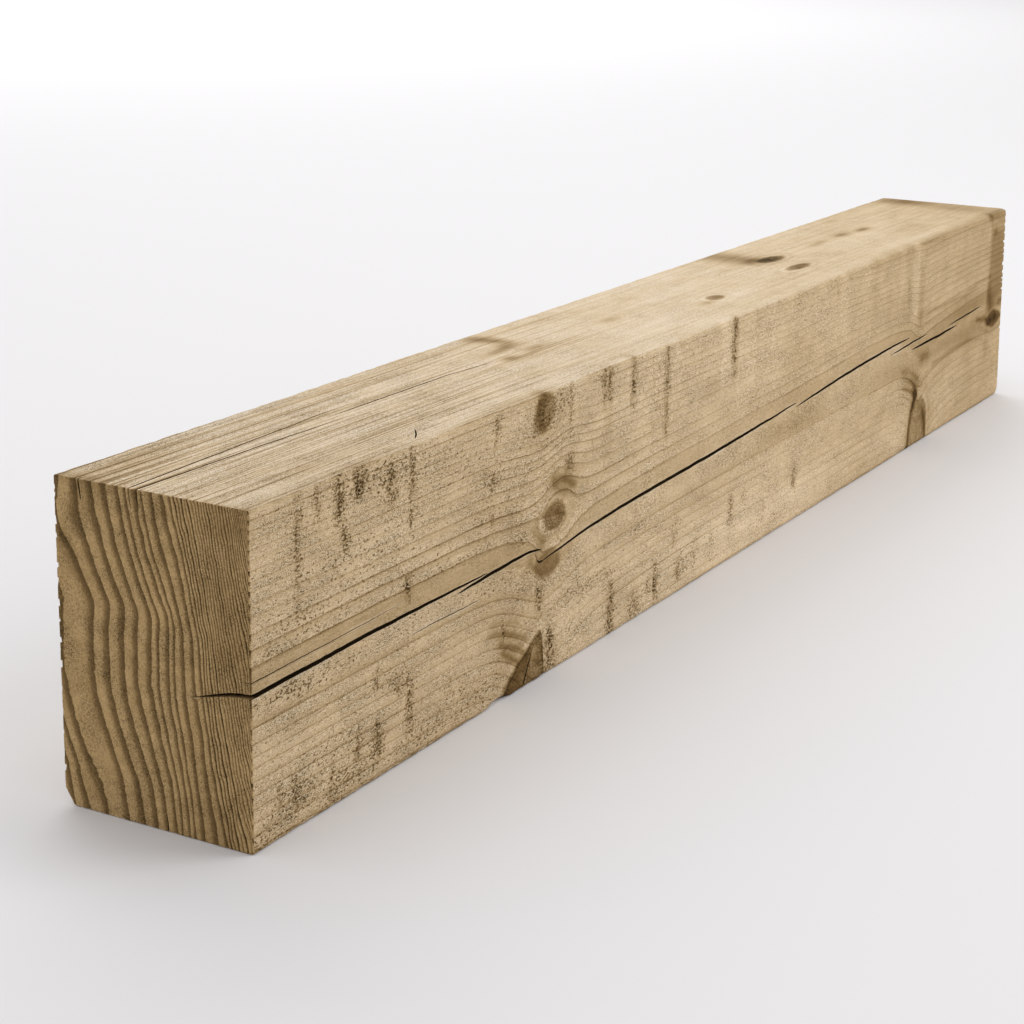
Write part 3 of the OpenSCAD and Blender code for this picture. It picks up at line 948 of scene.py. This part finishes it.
# The wood's colours from its darkest check to its palest fibre, on each kind of face
WIDE_FACE_SCALE = [
    (0.0, (0.020, 0.010, 0.003, 1)),
    (0.08, (0.142, 0.081, 0.028, 1)),
    (0.17, (0.275, 0.177, 0.077, 1)),
    (0.22, (0.340, 0.233, 0.111, 1)),
    (0.345, (0.507, 0.362, 0.199, 1)),
    (0.50, (0.667, 0.501, 0.306, 1)),
    (0.67, (0.790, 0.613, 0.394, 1)),
    (0.85, (0.915, 0.746, 0.515, 1)),
]
LEVEL_FACE_SCALE = [
    (0.0, (0.012, 0.007, 0.003, 1)),
    (0.145, (0.230, 0.152, 0.070, 1)),
    (0.325, (0.480, 0.354, 0.212, 1)),
    (0.43, (0.600, 0.470, 0.303, 1)),
    (0.60, (0.728, 0.603, 0.456, 1)),
    (0.75, (0.822, 0.701, 0.560, 1)),
]
END_SCALE = [
    (0.0, (0.012, 0.007, 0.003, 1)),
    (0.075, (0.128, 0.078, 0.031, 1)),
    (0.20, (0.310, 0.198, 0.084, 1)),
    (0.38, (0.550, 0.373, 0.176, 1)),
    (0.66, (0.770, 0.535, 0.279, 1)),
]
# Where a plain patch of each kind of face lies on that scale
WIDE_FACE_SHADE = 0.50
LEVEL_FACE_SHADE = 0.545
END_SHADE = 0.37
# Darkness over one growth ring, from its inner edge at 0 to its sharp outer edge at 1
END_LATEWOOD = [
    (0, 0.4), (0.025, 0.03), (0.35, 0.06), (0.5, 0.25), (0.64, 0.7), (0.82, 0.92), (0.96, 1), (1, 0.75),
]
FACE_LINE = [(0, 0.5), (0.02, 0), (0.8, 0), (0.92, 0.8), (0.97, 1), (1, 0.8)]
FACE_BAND = [(0, 0.1), (0.02, 0), (0.45, 0), (0.62, 0.8), (0.97, 1), (1, 0.4)]
# Zones of a knot by half its distance, so that 0.5 is its rim
CRISP_KNOT = [(0.42, 1), (0.52, 0)]
SOFT_KNOT = [(0.24, 1), (0.46, 0.55), (0.62, 0)]
KNOT_DARK_RIM = [(0.26, 0), (0.40, 1), (0.46, 0.8), (0.53, 0)]
KNOT_PALE_RIM = [(0.49, 0), (0.55, 1), (0.60, 1), (0.68, 0)]
KNOT_HALO = [(0.62, 0), (0.8, 1), (0.98, 0)]
# Where noise about 0.5 turns into pits, tufts and streaks
PIT_EDGE = [(0.64, 0), (0.70, 1)]
TUFT_EDGE = [(0.46, 0.1), (0.56, 1)]
STREAK_EDGE = [(0.52, 0), (0.64, 1)]
# How much of the shade each mark takes away
LATEWOOD_DARKNESS = 0.74
SMOOTH_BAND_DARKNESS = 0.26
FLAT_GRAIN_DARKNESS = 0.09
STREAK_DARKNESS = 0.46
KNOT_DARKNESS = 0.92
PIT_DARKNESS = 0.7
TEAR_DARKNESS = 0.84
ROUGH_DARKNESS = 0.12
# The checks' walls: their darker wood, and painted shade deep inside the checks
CHECK_WALL_DARKNESS_AND_SHADE = 0.96
DARKEST_STAIN_AND_SHADE = 0.06
# The same for the bands and lines of the grain, on the wide faces and on the level ones
BAND_DARKNESS = (0.17, 0.13)
LINE_DARKNESS = (0.52, 0.55)
# How strongly the fuzz of the fibre shows in the colour as painted light and shade of the raised fibres,
# and how much of it the ends have
FUZZ_LIGHT_AND_SHADE = 3.0
END_FUZZ = 0.75
# Heights and depths of the finest relief, in millimetres
FUZZ_HEIGHT = 0.8
LINE_DEPTH = 0.05
FIBRE_HEIGHT = 0.14
PIT_DEPTH = 0.4
TEAR_GROOVE = 0.6
KNOT_HEIGHT = 0.5
GLOSS = 0.03


def ring_shades(bench):
    """Latewood of the ends, then the thin lines and the smooth bands of the long faces."""
    waver = bench.noise((30, 260, 260), seed=1)
    shiver = bench.noise((90, 1100, 700), seed=8)
    ring = bench.math("MULTIPLY_ADD", waver, 0.12, bench.field("growth"))
    ring = bench.math("MULTIPLY_ADD", shiver, 0.10, ring)
    phase = bench.math("FRACT", ring)
    chance = bench.chance(bench.math("FLOOR", ring))
    strength = bench.math("MULTIPLY_ADD", chance, 0.6, 0.5)
    close = bench.math("MULTIPLY_ADD", ring, 0.4, -0.4 * (len(WIDE_RING_EDGES) - 2), clamp=True)
    scratch = bench.noise((60, 1000, 110), detail=1, seed=13)
    uneven = bench.math("MULTIPLY_ADD", scratch, 0.7, bench.math("MULTIPLY_ADD", chance, 0.6, 0.8))
    uneven = bench.mix(close, 1.0, uneven)
    face_phase = bench.math("ABSOLUTE", bench.math("SUBTRACT", bench.field("below"), phase))
    end_late = bench.product(bench.curve(phase, END_LATEWOOD), uneven)
    line = bench.product(bench.curve(face_phase, FACE_LINE), strength, bench.field("crisp"))
    return end_late, line, bench.curve(face_phase, FACE_BAND)


def knot_shades(bench):
    """How dark the knots make the wood, and the mottled height of their own wood."""
    mottle = bench.noise((110, 170, 170), detail=3, seed=7)
    ragged = bench.noise((520, 700, 700), detail=2, seed=12)
    reach = bench.math("MULTIPLY_ADD", mottle, 0.45, bench.field("knot"))
    reach = bench.math("MULTIPLY_ADD", ragged, 0.25, reach)
    half_reach = bench.math("MULTIPLY", reach, 0.5)
    soft = bench.curve(half_reach, SOFT_KNOT)
    knot = bench.mix(bench.field("knot_rim"), soft, bench.curve(half_reach, CRISP_KNOT))
    pale = bench.product(bench.curve(half_reach, KNOT_PALE_RIM), bench.field("knot_rim"))
    rings = bench.math("SINE", bench.math("MULTIPLY", reach, 26.0))
    body = bench.math("ADD", bench.math("MULTIPLY_ADD", rings, 0.04, 0.8), bench.product(mottle, 0.6))
    dark = bench.product(knot, bench.math("MULTIPLY_ADD", ragged, 0.35, body))
    dark = bench.math("MULTIPLY_ADD", bench.curve(half_reach, KNOT_DARK_RIM), 0.10, dark)
    dark = bench.math("MULTIPLY_ADD", pale, -0.16, dark)
    dark = bench.math("MULTIPLY_ADD", bench.curve(half_reach, KNOT_HALO), 0.14, dark)
    return bench.math("MULTIPLY", dark, bench.field("knot_dark")), bench.product(mottle, knot)


def nearness(bench):
    """1 at the near end, less where the photograph shows the fibre softer."""
    return bench.math("MINIMUM", bench.field("crisp"), 1.0)


def stippled_fibre(bench):
    """Fine tufts of sawn fibre, uneven from place to place."""
    stipple = bench.noise((1500, 2500, 2500), detail=1, roughness=0.8, seed=3)
    fluff = bench.noise((380, 1150, 1150), detail=2, roughness=0.7, seed=15)
    ripe = bench.noise((36, 80, 80), detail=2, seed=16)
    stipple = bench.math("MULTIPLY_ADD", fluff, 0.6, stipple)
    return bench.product(stipple, bench.math("MULTIPLY_ADD", ripe, 2.2, 1.0))


def fuzz_share(bench, band, smooth, stain_and_shade):
    """How fuzzy the fibre stands: less on smooth bands, far off, on the ends, in stains and in painted
    shade.
    """
    fuzz = bench.math("MULTIPLY_ADD", band, -0.35, 1.1)
    fuzz = bench.math("MULTIPLY_ADD", smooth, -0.35, fuzz)
    fuzz = bench.product(fuzz, bench.math("MULTIPLY_ADD", nearness(bench), 0.65, 0.35))
    fuzz = bench.darken(fuzz, bench.field("level_face"), 0.15)
    fuzz = bench.mix(bench.field("end_cut"), fuzz, END_FUZZ)
    return bench.product(fuzz, bench.math("MINIMUM", stain_and_shade, 1.0))


def pit_share(bench, patch, line, fuzz):
    """Dark pits of pulled-out fibre, thickest on the rough patches and along the lines."""
    pit = bench.noise((520, 860, 860), detail=3, roughness=0.6, seed=5)
    pit = bench.math("MULTIPLY_ADD", patch, 0.2, pit)
    pit = bench.math("MULTIPLY_ADD", bench.field("rough"), 0.18, pit)
    pit = bench.math("MULTIPLY_ADD", line, 0.05, pit)
    pit = bench.curve(bench.math("ADD", pit, 0.5), PIT_EDGE)
    pit = bench.darken(bench.product(pit, fuzz), bench.field("level_face"), 0.7)
    return bench.darken(pit, bench.field("end_cut"), 1.0)


def tear_share(bench):
    """Torn saw marks, broken up into tufts."""
    tufts = bench.noise((520, 760, 760), detail=2, seed=6)
    tear = bench.math("MULTIPLY", bench.field("torn"), 2.0, clamp=True)
    return bench.product(tear, bench.curve(bench.math("ADD", tufts, 0.5), TUFT_EDGE))


def streak_share(bench):
    """Fine dark streaks along the grain of the level faces."""
    streak = bench.noise((9, 760, 760), detail=2, seed=14)
    streak = bench.curve(bench.math("ADD", streak, 0.5), STREAK_EDGE)
    return bench.product(streak, bench.field("level_face"), bench.field("crisp"))


def face_shade(bench, line, band, smooth):
    """Shade of the long faces, darker on the bands and lines of the grain."""
    level_face = bench.field("level_face")
    grip = bench.math("MULTIPLY_ADD", bench.noise((7, 34, 34), seed=9), 1.8, 0.9)
    band_tone = bench.product(band, grip, bench.field("crisp"), bench.mix(level_face, *BAND_DARKNESS))
    line_tone = bench.product(line, grip, bench.mix(level_face, *LINE_DARKNESS))
    face = bench.mix(level_face, WIDE_FACE_SHADE, LEVEL_FACE_SHADE)
    face = bench.darken(face, smooth, SMOOTH_BAND_DARKNESS)
    face = bench.darken(face, band_tone, 1.0)
    face = bench.darken(face, bench.field("flat"), FLAT_GRAIN_DARKNESS)
    face = bench.darken(face, line_tone, 1.0)
    return bench.darken(face, streak_share(bench), STREAK_DARKNESS)


def uneven_tone(bench, patch, fibre, fuzzy):
    """The shade's unevenness about 1: patches, long fibre, mottling, and the painted light and shade of
    the fuzz.
    """
    mottle = bench.noise((90, 110, 110), detail=2, seed=11)
    mottle = bench.product(mottle, bench.mix(bench.field("end_cut"), 0.3, 0.6))
    fibre_tone = bench.product(fibre, nearness(bench), bench.mix(bench.field("level_face"), 0.4, 1.3))
    tone = bench.math("MULTIPLY_ADD", patch, 0.5, fibre_tone)
    tone = bench.math("ADD", tone, mottle)
    # Painted light and shade of the raised fibres: bright where they catch the light, dark where they
    # shade each other
    tone = bench.math("ADD", tone, bench.product(fuzzy, FUZZ_LIGHT_AND_SHADE))
    return bench.math("ADD", tone, 1.0)


def wood_colour(bench, shade):
    """The shade's colour on the scale of each kind of face."""
    wide = bench.ramp(shade, WIDE_FACE_SCALE)
    long_face = bench.mix_colour(bench.field("level_face"), wide, bench.ramp(shade, LEVEL_FACE_SCALE))
    return bench.mix_colour(bench.field("end_cut"), long_face, bench.ramp(shade, END_SCALE))


def fine_relief(bench, heights):
    """Bump from shares and their heights in millimetres."""
    share, height = heights[0]
    relief = bench.product(share, height)
    for share, height in heights[1:]:
        relief = bench.math("MULTIPLY_ADD", share, height, relief)
    bump = bench.node("ShaderNodeBump")
    bump.inputs["Strength"].default_value = 1.0
    bump.inputs["Distance"].default_value = MM
    bench.put(bump.inputs["Height"], relief)
    return bump.outputs["Normal"]


def treated_softwood():
    """Dry treated softwood: rings, fuzzy sawn fibre, torn marks, knots and dark checks."""
    bench = Bench("treated_softwood")
    end_late, line, band = ring_shades(bench)
    smooth = bench.product(band, bench.field("flat"))
    patch = bench.noise((14, 40, 40), detail=2, seed=4)
    fibre = bench.noise((10, 700, 700), detail=3, seed=2)
    # Stains, with the painted light and shade of the sawn facets and the painted contact shadow of the
    # bottom arris
    stain_and_shade = bench.math("MAXIMUM", bench.math("ADD", bench.field("stain_and_shade"), 1.0), DARKEST_STAIN_AND_SHADE)
    fuzz = fuzz_share(bench, band, smooth, stain_and_shade)
    fuzzy = bench.product(stippled_fibre(bench), fuzz)
    pit = pit_share(bench, patch, line, fuzz)
    tear = tear_share(bench)
    knot_dark, knot_height = knot_shades(bench)

    end = bench.darken(END_SHADE, end_late, LATEWOOD_DARKNESS)
    shade = bench.mix(bench.field("end_cut"), face_shade(bench, line, band, smooth), end)
    shade = bench.product(shade, stain_and_shade, uneven_tone(bench, patch, fibre, fuzzy))
    shade = bench.darken(shade, knot_dark, KNOT_DARKNESS)
    shade = bench.darken(shade, pit, PIT_DARKNESS)
    shade = bench.darken(shade, tear, TEAR_DARKNESS)
    shade = bench.darken(shade, bench.field("rough"), ROUGH_DARKNESS)
    # Painted shade deep in the checks, over the darker wood of their walls
    shade = bench.darken(shade, bench.field("inside"), CHECK_WALL_DARKNESS_AND_SHADE)

    heights = [
        (fuzzy, FUZZ_HEIGHT), (line, -LINE_DEPTH), (fibre, FIBRE_HEIGHT),
        (pit, -PIT_DEPTH), (tear, -TEAR_GROOVE), (knot_height, KNOT_HEIGHT),
    ]
    shader = bench.node("ShaderNodeBsdfPrincipled")
    shader.inputs["Specular IOR Level"].default_value = GLOSS
    bench.put(shader.inputs["Base Color"], wood_colour(bench, shade))
    bench.put(shader.inputs["Roughness"], bench.math("MULTIPLY_ADD", band, -0.12, 0.86))
    bench.put(shader.inputs["Normal"], fine_relief(bench, heights))
    output = bench.node("ShaderNodeOutputMaterial")
    bench.put(output.inputs["Surface"], shader.outputs[0])
    return bench.material


# The studio

FLOOR_SIZE = 40
FLOOR_GREY = (0.72, 0.71, 0.72, 1)
SKY_STRENGTH = 0.66
# Soft lights: name, place, what they point at, size and power
SOFT_LIGHTS = [
    ("overhead", (-0.1, 0.3, 3.2), (-0.1, 0.2, 0), 3.0, 26),
    ("key", (1.4, -2.4, 1.9), (0, 0, 0.1), 2.2, 39),
    ("back_wash", (4.2, 4.1, 3.6), (4.0, 3.9, 0), 6.0, 208),
]


def make_floor():
    bm = bmesh.new()
    bmesh.ops.create_grid(bm, x_segments=8, y_segments=8, size=FLOOR_SIZE / 2)
    mesh = bpy.data.meshes.new("floor")
    bm.to_mesh(mesh)
    bm.free()
    floor = linked("floor", mesh)
    paint = bpy.data.materials.new("pale_floor")
    paint.use_nodes = True
    shader = paint.node_tree.nodes["Principled BSDF"]
    shader.inputs["Base Color"].default_value = FLOOR_GREY
    shader.inputs["Roughness"].default_value = 0.7
    shader.inputs["Specular IOR Level"].default_value = 0.1
    floor.data.materials.append(paint)


def make_lights():
    world = bpy.data.worlds.new("studio")
    world.use_nodes = True
    world.node_tree.nodes["Background"].inputs["Color"].default_value = (1, 1, 1, 1)
    world.node_tree.nodes["Background"].inputs["Strength"].default_value = SKY_STRENGTH
    bpy.context.scene.world = world
    for name, place, target, size, power in SOFT_LIGHTS:
        lamp = bpy.data.lights.new(name, "AREA")
        lamp.shape = "DISK"
        lamp.size = size
        lamp.energy = power
        light = linked(name, lamp)
        light.location = place
        light.rotation_euler = (Vector(target) - Vector(place)).to_track_quat("-Z", "Y").to_euler()


def make_camera():
    lens = bpy.data.cameras.new("camera")
    lens.sensor_width = SENSOR_MM
    lens.lens = SENSOR_MM * FOCAL_PX / FRAME_PX
    lens.shift_y = CAMERA_SHIFT
    lens.clip_end = 50
    camera = linked("camera", lens)
    flat = math.cos(CAMERA_ELEVATION)
    back = Vector((
        math.sin(CAMERA_AZIMUTH) * flat,
        -math.cos(CAMERA_AZIMUTH) * flat,
        math.sin(CAMERA_ELEVATION),
    ))
    right = (-back).cross(Vector((0, 0, 1))).normalized()
    up = back.cross(right)
    turned_right = right * math.cos(CAMERA_ROLL) - up * math.sin(CAMERA_ROLL)
    turned_up = back.cross(turned_right)
    turn = Matrix((turned_right, turned_up, back)).transposed()
    camera.matrix_world = Matrix.Translation(CAMERA_PLACE) @ turn.to_4x4()
    bpy.context.scene.camera = camera


make_camera()
make_lights()
make_floor()
timber = make_timber()
timber.data.materials.clear()
timber.data.materials.append(treated_softwood())
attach(timber, "root")
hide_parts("timber")
bpy.context.scene.view_settings.view_transform = "Standard"

bpy.context.view_layer.update()
